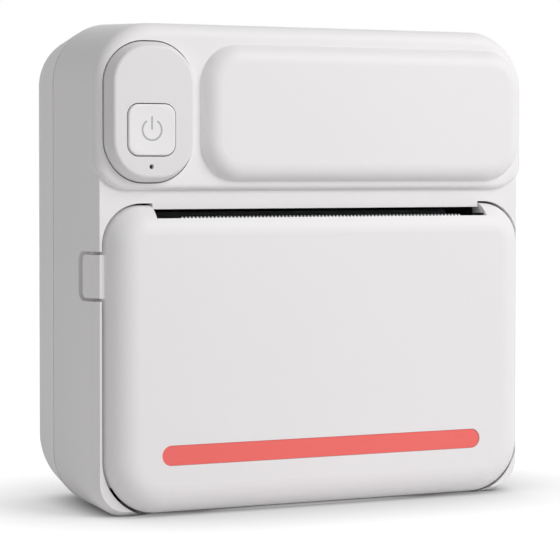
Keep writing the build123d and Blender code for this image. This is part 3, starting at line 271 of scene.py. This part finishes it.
@dataclass(frozen=True)
class WorkedMetal:
    """Stamped, turned or drawn metal, with fine marks that run one way."""

    name: str
    colour: str
    roughness: float
    mark: float  # spacing of the marks, mm
    mark_height: float  # mm
    stretch: tuple[float, float, float] = (1.0, 1.0, 1.0)  # marks are longer along a small value
    gloss_spread: float = 0.08  # how much the roughness differs from mark to mark
    tarnish_width: float = 9.0  # mm over which the tone changes
    tarnish: tuple[float, float] = (0.9, 1.05)  # darkest and lightest tone

    def build(self) -> bpy.types.Material:
        """Makes the material.

        Returns:
            The finished material.
        """
        material = empty_material(self.name)
        tree = material.node_tree
        place = add_node(tree, "ShaderNodeTexCoord").outputs["Object"]
        laid = add_node(
            tree, "ShaderNodeVectorMath", {0: place, 1: self.stretch}, operation="MULTIPLY"
        ).outputs["Vector"]
        marks = add_node(
            tree,
            "ShaderNodeTexNoise",
            {"Vector": laid, "Scale": 1 / (self.mark * MM), "Detail": 4.0, "Roughness": 0.6},
        ).outputs["Fac"]
        tarnish = add_node(
            tree,
            "ShaderNodeTexNoise",
            {"Vector": place, "Scale": 1 / (self.tarnish_width * MM), "Detail": 3.0},
        ).outputs["Fac"]
        dark, light = self.tarnish
        tone = add_node(
            tree, "ShaderNodeMapRange", {"Value": tarnish, "To Min": dark, "To Max": light}
        ).outputs["Result"]
        colour = add_node(
            tree,
            "ShaderNodeVectorMath",
            {0: linear(self.colour)[:3], "Scale": tone},
            operation="SCALE",
        ).outputs["Vector"]
        gloss = add_node(
            tree,
            "ShaderNodeMapRange",
            {
                "Value": marks,
                "To Min": self.roughness - self.gloss_spread,
                "To Max": self.roughness + self.gloss_spread,
            },
        ).outputs["Result"]
        relief = add_node(
            tree,
            "ShaderNodeBump",
            {"Height": marks, "Strength": 1.0, "Distance": self.mark_height * MM},
        ).outputs["Normal"]
        shader = add_node(
            tree,
            "ShaderNodeBsdfPrincipled",
            {"Base Color": colour, "Metallic": 1.0, "Roughness": gloss, "Normal": relief},
        )
        add_node(tree, "ShaderNodeOutputMaterial", {"Surface": shader.outputs["BSDF"]})
        return material


@dataclass(frozen=True)
class StudioFloor:
    """Seamless pale paper under the printer. It is exposed to white and keeps the shadow."""

    name: str
    colour: str
    exposure: float  # brightness of the seen paper where nothing stands over it, 1 is white
    lamp_share: float  # how much of the lamps' own light is seen on top of that
    shade_reach: float  # mm round the printer that its soft shadow covers
    shade_samples: int = 24
    roughness: float = 0.5

    def build(self) -> bpy.types.Material:
        """Makes the material.

        Returns:
            The finished material.
        """
        material = empty_material(self.name)
        tree = material.node_tree
        colour = linear(self.colour)
        paper = add_node(
            tree, "ShaderNodeBsdfDiffuse", {"Color": colour, "Roughness": self.roughness}
        ).outputs["BSDF"]
        dimmed = (*(level * self.lamp_share for level in colour[:3]), colour[3])
        lamp_light = add_node(
            tree, "ShaderNodeBsdfDiffuse", {"Color": dimmed, "Roughness": self.roughness}
        ).outputs["BSDF"]
        # Soft shadow of whatever stands on the paper.
        openness = add_node(
            tree,
            "ShaderNodeAmbientOcclusion",
            {"Distance": self.shade_reach * MM},
            samples=self.shade_samples,
        ).outputs["AO"]
        level = add_node(
            tree, "ShaderNodeMath", {0: openness, 1: self.exposure}, operation="MULTIPLY"
        ).outputs["Value"]
        white = add_node(
            tree, "ShaderNodeEmission", {"Color": WHITE, "Strength": level}
        ).outputs["Emission"]
        seen = add_node(tree, "ShaderNodeAddShader", {0: lamp_light, 1: white}).outputs["Shader"]
        look = add_node(
            tree, "ShaderNodeMixShader", {0: seen_rays(tree), 1: paper, 2: seen}
        ).outputs["Shader"]
        add_node(tree, "ShaderNodeOutputMaterial", {"Surface": look})
        return material


class Finishes:
    """Every finish of the printer, made once."""

    def __init__(self) -> None:
        """Makes all the materials."""
        # ABS, moulded in a spark-eroded tool: matte, with a soft broad highlight.
        self.case_abs = MouldedPlastic("abs_case_spark_eroded", "f3f1f2", 0.55, 0.42, 0.012).build()
        # The cover comes from a finer tool and looks a touch smoother.
        self.cover_abs = MouldedPlastic(
            "abs_cover_fine_eroded", "f3f1f2", 0.52, 0.36, 0.009
        ).build()
        # The panel is its own moulding of the same ABS, a shade greyer.
        self.panel_abs = MouldedPlastic("abs_panel_fine_eroded", "ebe9ea", 0.5, 0.36, 0.009).build()
        # Button from a smooth tool, so it is the glossiest of the white pieces.
        self.button_abs = MouldedPlastic("abs_button_satin", "f5f3f4", 0.42, 0.3, 0.004).build()
        # Coral strip, ABS dyed right through, with a satin sheen.
        self.strip_abs = MouldedPlastic("abs_strip_coral", "f96e69", 0.45, 0.3, 0.005).build()
        # Inner mouldings, left as they come from the tool: smoother and a little warmer.
        self.inner_abs = MouldedPlastic("abs_inner_untextured", "e4e4e2", 0.4, 0.6, 0.003).build()
        # Acetal gears: milky and slightly waxy.
        self.acetal = MouldedPlastic("acetal_gear_moulded", "ece9df", 0.35, 0.5, 0.003).build()
        # Bushes of black acetal: deep black, with the same waxy sheen.
        self.black_bush = MouldedPlastic("acetal_bush_black", "1b1b1c", 0.35, 0.4, 0.003).build()
        # Glass-filled nylon of the switch and the socket's tongue: black and rather dry.
        self.black_switch = MouldedPlastic("nylon_switch_black", "202022", 0.5, 0.3, 0.006).build()
        # Smoked polycarbonate of the light pipe: polished, and nearly black unlit.
        self.smoked_pipe = MouldedPlastic(
            "polycarbonate_pipe_smoked", "3a3a3c", 0.15, 0.5, 0.001
        ).build()
        # Solder mask on glass epoxy: glossy green, clouded where the copper lies under it.
        self.solder_mask = MouldedPlastic(
            "solder_mask_green", "1c5a38", 0.3, 0.5, 0.004, mottle=0.06
        ).build()
        # Cast resin of the light: smooth and pale yellow.
        self.led_resin = MouldedPlastic("led_resin_cast", "efeccd", 0.2, 0.5, 0.001).build()
        # Ground silicone rubber of the platen: dull charcoal, with no clear highlight.
        self.rubber = MouldedPlastic("silicone_platen_ground", "232325", 0.75, 0.25, 0.02).build()
        # Glazed alumina of the print head: grey under a sharp gloss.
        self.ceramic = MouldedPlastic("alumina_glazed", "8d8f92", 0.18, 0.5, 0.001).build()
        # Zinc-plated sheet steel, stamped: pale, with a broken shine.
        self.sheet_steel = WorkedMetal("steel_zinc_stamped", "c9cbcd", 0.38, 0.5, 0.004).build()
        # Turned and ground rods: marks run round them, so they are short along X.
        self.ground_steel = WorkedMetal(
            "steel_ground_rod", "d6d7d8", 0.22, 0.25, 0.003, (3.0, 0.4, 0.4)
        ).build()
        # Nickel-plated screws: darker than the sheet, with small bright glints.
        self.plated_screw = WorkedMetal("steel_screw_nickel", "8f9194", 0.3, 0.3, 0.004).build()
        # Deep-drawn can of the motor: marks run along the draw.
        self.drawn_can = WorkedMetal(
            "steel_motor_can_drawn", "bfc1c4", 0.28, 0.3, 0.004, (0.3, 2.0, 2.0)
        ).build()
        # Cut brass of the pinion: warm, and brighter on the teeth.
        self.brass = WorkedMetal("brass_pinion_cut", "d9b36a", 0.25, 0.3, 0.004).build()
        # Extruded aluminium of the heat sink: long fine lines from the die.
        self.aluminium = WorkedMetal(
            "aluminium_extruded", "d5d7d9", 0.32, 0.35, 0.005, (0.15, 2.0, 2.0)
        ).build()
        # Laminated foil round the battery: soft metal sheen with shallow creases.
        self.pouch = WorkedMetal("aluminium_pouch_laminate", "b9bcc0", 0.36, 1.2, 0.02).build()
        # Tear bar: etched stainless sheet, matte, so that its teeth catch a soft light.
        self.tear_steel = WorkedMetal("steel_stainless_etched", "c9cacc", 0.5, 0.3, 0.003).build()
        # Grey of the symbol, laid on thin: painted shade that stands in for the dark of its
        # engraved groove.
        self.symbol_groove_shade = MouldedPlastic("painted_groove_shade_symbol", "b6b7b9", 0.5, 0.3, 0.004).build()


# ---------------------------------------------------------------------------------------------
# Sub-assemblies
# ---------------------------------------------------------------------------------------------


@dataclass(frozen=True)
class PlainScrew:
    """Place and size of one plain screw, in metres. Levels run along its axis from its middle."""

    middle: Vector
    axis: Vector
    tip: float
    seat: float
    top: float
    shank_radius: float
    head_radius: float

    @classmethod
    def measure(cls, corners: list[Vector], facing: Facing) -> "PlainScrew":
        """Measures a screw.

        Args:
            corners: Points of the screw's mesh.
            facing: Which way its head points.

        Returns:
            The measured screw.
        """
        axis = Vector(facing.value)
        low = Vector([min(corner[n] for corner in corners) for n in range(3)])
        high = Vector([max(corner[n] for corner in corners) for n in range(3)])
        middle = (low + high) / 2
        spots = []
        for corner in corners:
            level = (corner - middle).dot(axis)
            spots.append((level, (corner - middle - axis * level).length))
        tip = min(level for level, _ in spots)
        head_radius = max(radius for _, radius in spots)
        return cls(
            middle=middle,
            axis=axis,
            tip=tip,
            seat=min(level for level, radius in spots if radius > 0.9 * head_radius),
            top=max(level for level, _ in spots),
            shank_radius=max(radius for level, radius in spots if level - tip < 0.05 * MM),
            head_radius=head_radius,
        )

    @property
    def head_height(self) -> float:
        """Height of the head."""
        return self.top - self.seat

    def point(self, across: float, up: float, level: float) -> Vector:
        """Finds a point by its place across the axis and its level.

        Args:
            across: Distance from the axis, one way.
            up: Distance from the axis, square to that.
            level: Distance along the axis.

        Returns:
            The point.
        """
        side = Vector((self.axis.z, self.axis.x, self.axis.y))
        square = self.axis.cross(side)
        return self.middle + self.axis * level + side * across + square * up


@dataclass
class CrossScrews:
    """Pan-head screws with a cross recess, made in the place of one node's plain screws."""

    node: str
    body: Body
    facing: Facing
    segments: int = 32  # round the head
    point_radius: float = 0.7  # radius of the blunt tip, as a part of the shank's
    point_length: float = 0.5  # length of the tip, as a part of the shank's radius
    crown: float = 0.4  # part of the head's height that is rounded off
    crown_steps: int = 4
    flat: float = 0.72  # radius of the flat on the head, as a part of the head's
    reach: float = 0.6  # half the length of the recess, as a part of the head's radius
    arm: float = 0.14  # half the width of an arm of the recess
    depth: float = 0.6  # of the recess, as a part of the head's height
    taper: float = 0.55  # size of the recess at its bottom

    def make(self, material: bpy.types.Material) -> None:
        """Makes the screws and takes the plain ones away.

        Args:
            material: The finish of the screws.
        """
        screws = bmesh.new()
        for corners in self.plain_screws():
            self.add_screw(screws, PlainScrew.measure(corners, self.facing))
        bmesh.ops.recalc_face_normals(screws, faces=screws.faces[:])
        piece = link_mesh(f"{self.node}_crosshead", screws, material)
        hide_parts(self.node)
        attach(piece, self.body.value)
        log.info("made %s", piece.name)

    def plain_screws(self) -> list[list[Vector]]:
        """Finds the points of each screw of the CAD node.

        Returns:
            One list of points for each screw, in metres.
        """
        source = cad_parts[self.node]
        solid = bmesh.new()
        solid.from_mesh(source.data)
        bmesh.ops.transform(solid, matrix=source.matrix_world, verts=solid.verts)
        bmesh.ops.remove_doubles(solid, verts=solid.verts, dist=0.001 * MM)
        left = set(solid.verts)
        islands = []
        while left:
            found, waiting = [], [left.pop()]
            while waiting:
                corner = waiting.pop()
                found.append(corner.co.copy())
                near = {edge.other_vert(corner) for edge in corner.link_edges} & left
                left -= near
                waiting.extend(near)
            islands.append(found)
        solid.free()
        return islands

    def profile(self, screw: PlainScrew) -> list[tuple[float, float]]:
        """Draws the outline that is turned about the axis, from the tip to the flat on the head.

        Args:
            screw: The plain screw.

        Returns:
            Radius and level of each point.
        """
        shoulder = screw.top - screw.head_height * self.crown
        points = [
            (screw.shank_radius * self.point_radius, screw.tip),
            (screw.shank_radius, screw.tip + screw.shank_radius * self.point_length),
            (screw.shank_radius, screw.seat),
            (screw.head_radius, screw.seat),
            (screw.head_radius, shoulder),
        ]
        for step in range(1, self.crown_steps + 1):
            turn = math.pi / 2 * step / self.crown_steps
            radius = screw.head_radius * (self.flat + (1 - self.flat) * math.cos(turn))
            points.append((radius, shoulder + (screw.top - shoulder) * math.sin(turn)))
        return points

    def ring(
        self, screws: bmesh.types.BMesh, screw: PlainScrew, radius: float, level: float
    ) -> list[bmesh.types.BMVert]:
        """Adds a ring of points round the axis.

        Args:
            screws: The mesh that gets the ring.
            screw: The plain screw.
            radius: Radius of the ring.
            level: Its level along the axis.

        Returns:
            The ring's points, in order.
        """
        turns = [2 * math.pi * n / self.segments for n in range(self.segments)]
        return [
            screws.verts.new(screw.point(radius * math.cos(turn), radius * math.sin(turn), level))
            for turn in turns
        ]

    def cross(self, screw: PlainScrew) -> list[tuple[float, float]]:
        """Draws the mouth of the recess.

        Args:
            screw: The plain screw.

        Returns:
            The twelve corners of the cross, across and up.
        """
        reach, arm = screw.head_radius * self.reach, screw.head_radius * self.arm
        corners = []
        for quarter in range(4):
            cos, sin = math.cos(math.pi / 2 * quarter), math.sin(math.pi / 2 * quarter)
            for x, y in ((reach, -arm), (reach, arm), (arm, arm)):
                corners.append((x * cos - y * sin, x * sin + y * cos))
        return corners

    def add_screw(self, screws: bmesh.types.BMesh, screw: PlainScrew) -> None:
        """Adds one screw of the plain screw's size.

        Args:
            screws: The mesh that gets the screw.
            screw: The plain screw.
        """
        rings = [self.ring(screws, screw, *point) for point in self.profile(screw)]
        screws.faces.new(reversed(rings[0]))
        for lower, upper in zip(rings, rings[1:]):
            for n in range(self.segments):
                screws.faces.new((lower[n - 1], lower[n], upper[n], upper[n - 1]))
        rim, cross = rings[-1], self.cross(screw)
        bottom = screw.top - screw.head_height * self.depth
        mouth = [screws.verts.new(screw.point(x, y, screw.top)) for x, y in cross]
        floor = [
            screws.verts.new(screw.point(x * self.taper, y * self.taper, bottom)) for x, y in cross
        ]
        edges = [screws.edges.get((rim[n - 1], rim[n])) for n in range(len(rim))]
        edges += [screws.edges.new((mouth[n - 1], mouth[n])) for n in range(len(mouth))]
        bmesh.ops.triangle_fill(screws, edges=edges, use_beauty=True)
        for n in range(len(mouth)):
            screws.faces.new((mouth[n - 1], mouth[n], floor[n], floor[n - 1]))
        screws.faces.new(floor)


@dataclass
class TabPocket:
    """Thin wall of the front shell behind the finger tab, which closes the tab's pocket."""

    inset: float = 2.3  # from the outside of the case to the wall
    thickness: float = 0.8
    front: float = -12.3  # just clear of the closed cover
    back: float = -7.6
    middle: float = 40.2  # height of the tab's middle
    height: float = 10.4
    edge: float = 0.25  # radius of the wall's edges
    edge_steps: int = 3

    def build(self, material: bpy.types.Material) -> None:
        """Makes the wall.

        Args:
            material: The finish of the case.
        """
        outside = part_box("front_shell")[0][0] / MM
        size = (self.thickness, self.back - self.front, self.height)
        place = (
            outside + self.inset + self.thickness / 2,
            (self.front + self.back) / 2,
            self.middle,
        )
        wall = bmesh.new()
        bmesh.ops.create_cube(wall, size=1.0)
        bmesh.ops.scale(wall, vec=Vector(size) * MM, verts=wall.verts)
        bmesh.ops.translate(wall, vec=Vector(place) * MM, verts=wall.verts)
        bmesh.ops.bevel(
            wall,
            geom=wall.edges[:],
            offset=self.edge * MM,
            segments=self.edge_steps,
            profile=0.5,
            affect="EDGES",
        )
        piece = link_mesh("tab_pocket_wall", wall, material)
        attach(piece, Body.ROOT.value)
        log.info("made %s", piece.name)


@dataclass
class Case:
    """The two outer shells, the bin between them and the screws at the back."""

    def dress_all(self, finishes: Finishes) -> None:
        """Gives every node of the case its finish.

        Args:
            finishes: The printer's materials.
        """
        for node in ("front_shell", "rear_shell"):
            dress(node, finishes.case_abs)
        TabPocket().build(finishes.case_abs)
        dress("paper_bin", finishes.inner_abs)
        CrossScrews("case_screws", Body.ROOT, Facing.BACK).make(finishes.plated_screw)


@dataclass
class ControlPanel:
    """The raised panel with the power button, its symbol and the light."""

    ring_radius: float = 1.72  # middle of the symbol's line
    line_width: float = 0.3
    gap_half_angle: float = 37.0  # degrees left open on each side of the top
    bar_low: float = 0.15  # above the middle of the button
    bar_high: float = 2.1
    dish_depth: float = 0.15  # of the button's face, in its middle
    dish_radius: float = 60.0
    paint: float = 0.03  # thickness of the symbol's paint
    ring_steps: int = 48
    bar_steps: int = 6
    cap_steps: int = 6  # round an end of a stroke

    def dress_all(self, finishes: Finishes) -> None:
        """Gives every node of the panel its finish, and paints the symbol on the button as painted
        shade of its engraved groove.

        Args:
            finishes: The printer's materials.
        """
        dress("control_panel", finishes.panel_abs)
        dress("power_button", finishes.button_abs)
        dress("light_pipe", finishes.smoked_pipe)
        dress("status_led", finishes.led_resin)
        dress("tact_switch", finishes.black_switch)
        dress("switch_plunger", finishes.black_switch)
        self.paint_symbol_shade(finishes.symbol_groove_shade)

    def face_point(self, across: float, up: float) -> Vector:
        """Finds a point of the dished face of the button.

        Args:
            across: Millimetres to the right of the button's middle.
            up: Millimetres above it.

        Returns:
            The point, in metres.
        """
        low, high = (Vector(corner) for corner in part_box("power_button"))
        middle = (low + high) / 2
        sink = self.dish_depth - (across**2 + up**2) / (2 * self.dish_radius)
        return Vector((middle.x + across * MM, low.y + sink * MM, middle.z + up * MM))

    def stroke(self, mark: bmesh.types.BMesh, path: list[tuple[float, float]]) -> None:
        """Adds one stroke of even width with round ends to the symbol.

        Args:
            mark: The symbol's mesh.
            path: Points of the stroke's middle line, across and up, mm.
        """
        half = self.line_width / 2
        left, right = [], []
        for number, (across, up) in enumerate(path):
            before = Vector(path[max(number - 1, 0)])
            after = Vector(path[min(number + 1, len(path) - 1)])
            along = (after - before).normalized()
            left.append((across - along.y * half, up + along.x * half))
            right.append((across + along.y * half, up - along.x * half))
        outline = list(left)
        for end, rim in ((path[-1], left[-1]), (path[0], right[0])):
            start = math.atan2(rim[1] - end[1], rim[0] - end[0])
            for step in range(1, self.cap_steps):
                turn = start - math.pi * step / self.cap_steps
                outline.append((end[0] + half * math.cos(turn), end[1] + half * math.sin(turn)))
            if rim == left[-1]:
                outline.extend(reversed(right))
        corners = [mark.verts.new(self.face_point(across, up)) for across, up in outline]
        edges = [mark.edges.new((corners[n - 1], corners[n])) for n in range(len(corners))]
        bmesh.ops.triangle_fill(mark, edges=edges, use_beauty=True)

    def paint_symbol_shade(self, paint: bpy.types.Material) -> None:
        """Paints the power symbol, an open ring with an upright bar, as painted shade of its
        engraved groove.

        Args:
            paint: The finish of the symbol, a grey that is painted shade of the groove.
        """
        mark = bmesh.new()
        first = math.radians(90 + self.gap_half_angle)
        sweep = math.radians(360 - 2 * self.gap_half_angle)
        radius = self.ring_radius
        angles = [first + sweep * step / self.ring_steps for step in range(self.ring_steps + 1)]
        self.stroke(mark, [(radius * math.cos(turn), radius * math.sin(turn)) for turn in angles])
        rise = (self.bar_high - self.bar_low) / self.bar_steps
        self.stroke(mark, [(0.0, self.bar_low + rise * n) for n in range(self.bar_steps + 1)])
        for face in mark.faces:
            face.normal_update()
            if face.normal.y > 0:
                face.normal_flip()
        bmesh.ops.translate(mark, verts=mark.verts, vec=(0.0, -self.paint / 2 * MM, 0.0))
        bmesh.ops.solidify(mark, geom=mark.faces[:], thickness=self.paint * MM)
        # The grey symbol is painted shade of an engraved groove, which the button's face does not
        # have.
        symbol = link_mesh("power_symbol", mark, paint)
        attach(symbol, Body.BUTTON.value)


@dataclass
class Cover:
    """The hinged cover with its strip, liner, tear bar and platen."""

    def dress_all(self, finishes: Finishes) -> None:
        """Gives every node of the cover and the platen its finish.

        Args:
            finishes: The printer's materials.
        """
        dress("cover_shell", finishes.cover_abs)
        dress("accent_strip", finishes.strip_abs)
        dress("cover_liner", finishes.inner_abs)
        CrossScrews("liner_screws", Body.COVER, Facing.BACK).make(finishes.plated_screw)
        dress("tear_bar", finishes.tear_steel)
        dress("hinge_pins", finishes.ground_steel)
        dress("platen_bushes", finishes.black_bush)
        dress("platen_shaft", finishes.ground_steel)
        dress("platen_rubber", finishes.rubber)
        dress("platen_gear", finishes.acetal)


@dataclass
class PrintMechanism:
    """The frame with its print head, spring, motor and gears."""

    def dress_all(self, finishes: Finishes) -> None:
        """Gives every node of the mechanism its finish.

        Args:
            finishes: The printer's materials.
        """
        dress("mechanism_frame", finishes.sheet_steel)
        CrossScrews("frame_screws", Body.ROOT, Facing.UP).make(finishes.plated_screw)
        CrossScrews("motor_screws", Body.ROOT, Facing.LEFT).make(finishes.plated_screw)
        dress("stepper_motor", finishes.drawn_can)
        dress("motor_shaft", finishes.ground_steel)
        dress("motor_pinion", finishes.brass)
        dress("gear_posts", finishes.ground_steel)
        dress("head_pivot_pin", finishes.ground_steel)
        dress("idler_gear", finishes.acetal)
        dress("reduction_gear", finishes.acetal)
        dress("thermal_head", finishes.ceramic)
        dress("head_heat_sink", finishes.aluminium)
        dress("head_spring", finishes.ground_steel)


@dataclass
class Electronics:
    """The board, the battery and the charging socket."""

    tongue_height: float = 0.7  # of the socket's contact tongue, across the socket
    tongue_width: float = 6.7
    slack: float = 1.02  # how far outside that size a face may still count as the tongue's

    def dress_all(self, finishes: Finishes) -> None:
        """Gives every node of the electronics its finish.

        Args:
            finishes: The printer's materials.
        """
        dress("main_board", finishes.solder_mask)
        CrossScrews("board_screws", Body.ROOT, Facing.BACK).make(finishes.plated_screw)
        dress("usb_socket", finishes.sheet_steel)
        self.darken_tongue(finishes.black_switch)
        dress("battery_cell", finishes.pouch)

    def darken_tongue(self, material: bpy.types.Material) -> None:
        """Gives the faces of the socket's contact tongue their own finish.

        Args:
            material: The finish of the tongue.
        """
        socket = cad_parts["usb_socket"]
        socket.data.materials.append(material)
        low, high = (Vector(corner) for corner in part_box("usb_socket"))
        middle = (low + high) / 2
        half_height = self.tongue_height / 2 * self.slack
        half_width = self.tongue_width / 2 * self.slack
        for face in socket.data.polygons:
            off = (socket.matrix_world @ face.center - middle) / MM
            if abs(off.y) < half_height and abs(off.z) < half_width:
                face.material_index = 1


# ---------------------------------------------------------------------------------------------
# Studio
# ---------------------------------------------------------------------------------------------


@dataclass
class Lamp:
    """One square soft box."""

    name: str
    place: tuple[float, float, float]
    aim: tuple[float, float, float]
    side: float
    watts: float

    def hang(self) -> None:
        """Puts the soft box in the scene."""
        data = bpy.data.lights.new(self.name, "AREA")
        data.shape = "SQUARE"
        data.size = self.side * MM
        data.energy = self.watts
        lamp = bpy.data.objects.new(self.name, data)
        lamp.location = Vector(self.place) * MM
        direction = Vector(self.aim) - Vector(self.place)
        lamp.rotation_euler = direction.to_track_quat("-Z", "Y").to_euler()
        bpy.context.scene.collection.objects.link(lamp)


@dataclass
class Studio:
    """Camera, floor, world and lamps."""

    camera_place: tuple[float, float, float] = (-193.2, -382.65, 57.96)
    heading: float = 26.83  # degrees to the right of straight ahead
    pitch: float = 1.434  # degrees down
    lens: float = 154.62
    shift: float = -0.09
    floor_side: float = 6000.0
    floor_paper: StudioFloor = StudioFloor("paper_floor_white", "f4f4f4", 0.95, 0.25, 32.0)
    world_level: float = 0.36
    lamps: list[Lamp] = field(
        default_factory=lambda: [
            Lamp("key_soft_box", (360.0, -560.0, 440.0), (0.0, 0.0, 40.0), 420.0, 3.37),
        ]
    )

    def build(self) -> None:
        """Sets up the camera, the floor, the world and the lamps."""
        self.place_camera()
        self.lay_floor()
        self.light_world()
        for lamp in self.lamps:
            lamp.hang()

    def place_camera(self) -> None:
        """Puts the camera where the printer is seen from its front left."""
        data = bpy.data.cameras.new("studio_camera")
        data.sensor_width = 36.0
        data.lens = self.lens
        data.shift_y = self.shift
        data.clip_start = 0.01
        data.clip_end = 50.0
        camera = bpy.data.objects.new("studio_camera", data)
        camera.location = Vector(self.camera_place) * MM
        camera.rotation_euler = (math.radians(90 - self.pitch), 0.0, math.radians(-self.heading))
        bpy.context.scene.collection.objects.link(camera)
        bpy.context.scene.camera = camera

    def lay_floor(self) -> None:
        """Lays the floor just under the printer's base."""
        sheet = bmesh.new()
        bmesh.ops.create_grid(sheet, x_segments=8, y_segments=8, size=self.floor_side / 2 * MM)
        link_mesh("floor", sheet, self.floor_paper.build())

    def light_world(self) -> None:
        """Gives the world a plain even light, and makes it white where it is seen."""
        world = bpy.data.worlds.new("studio_world")
        world.use_nodes = True
        tree = world.node_tree
        tree.nodes.clear()
        even = add_node(
            tree, "ShaderNodeBackground", {"Color": WHITE, "Strength": self.world_level}
        ).outputs["Background"]
        white = add_node(
            tree, "ShaderNodeBackground", {"Color": WHITE, "Strength": 1.0}
        ).outputs["Background"]
        look = add_node(
            tree, "ShaderNodeMixShader", {0: seen_rays(tree), 1: even, 2: white}
        ).outputs["Shader"]
        add_node(tree, "ShaderNodeOutputWorld", {"Surface": look})
        bpy.context.scene.world = world


def main() -> None:
    """Builds the dressed printer and its studio."""
    logging.basicConfig(level=logging.INFO, format="%(name)s: %(message)s")
    bpy.context.scene.view_settings.view_transform = "Standard"
    finishes = Finishes()
    for assembly in (Case(), ControlPanel(), Cover(), PrintMechanism(), Electronics()):
        assembly.dress_all(finishes)
    Studio().build()


if __name__ == "__main__":
    main()
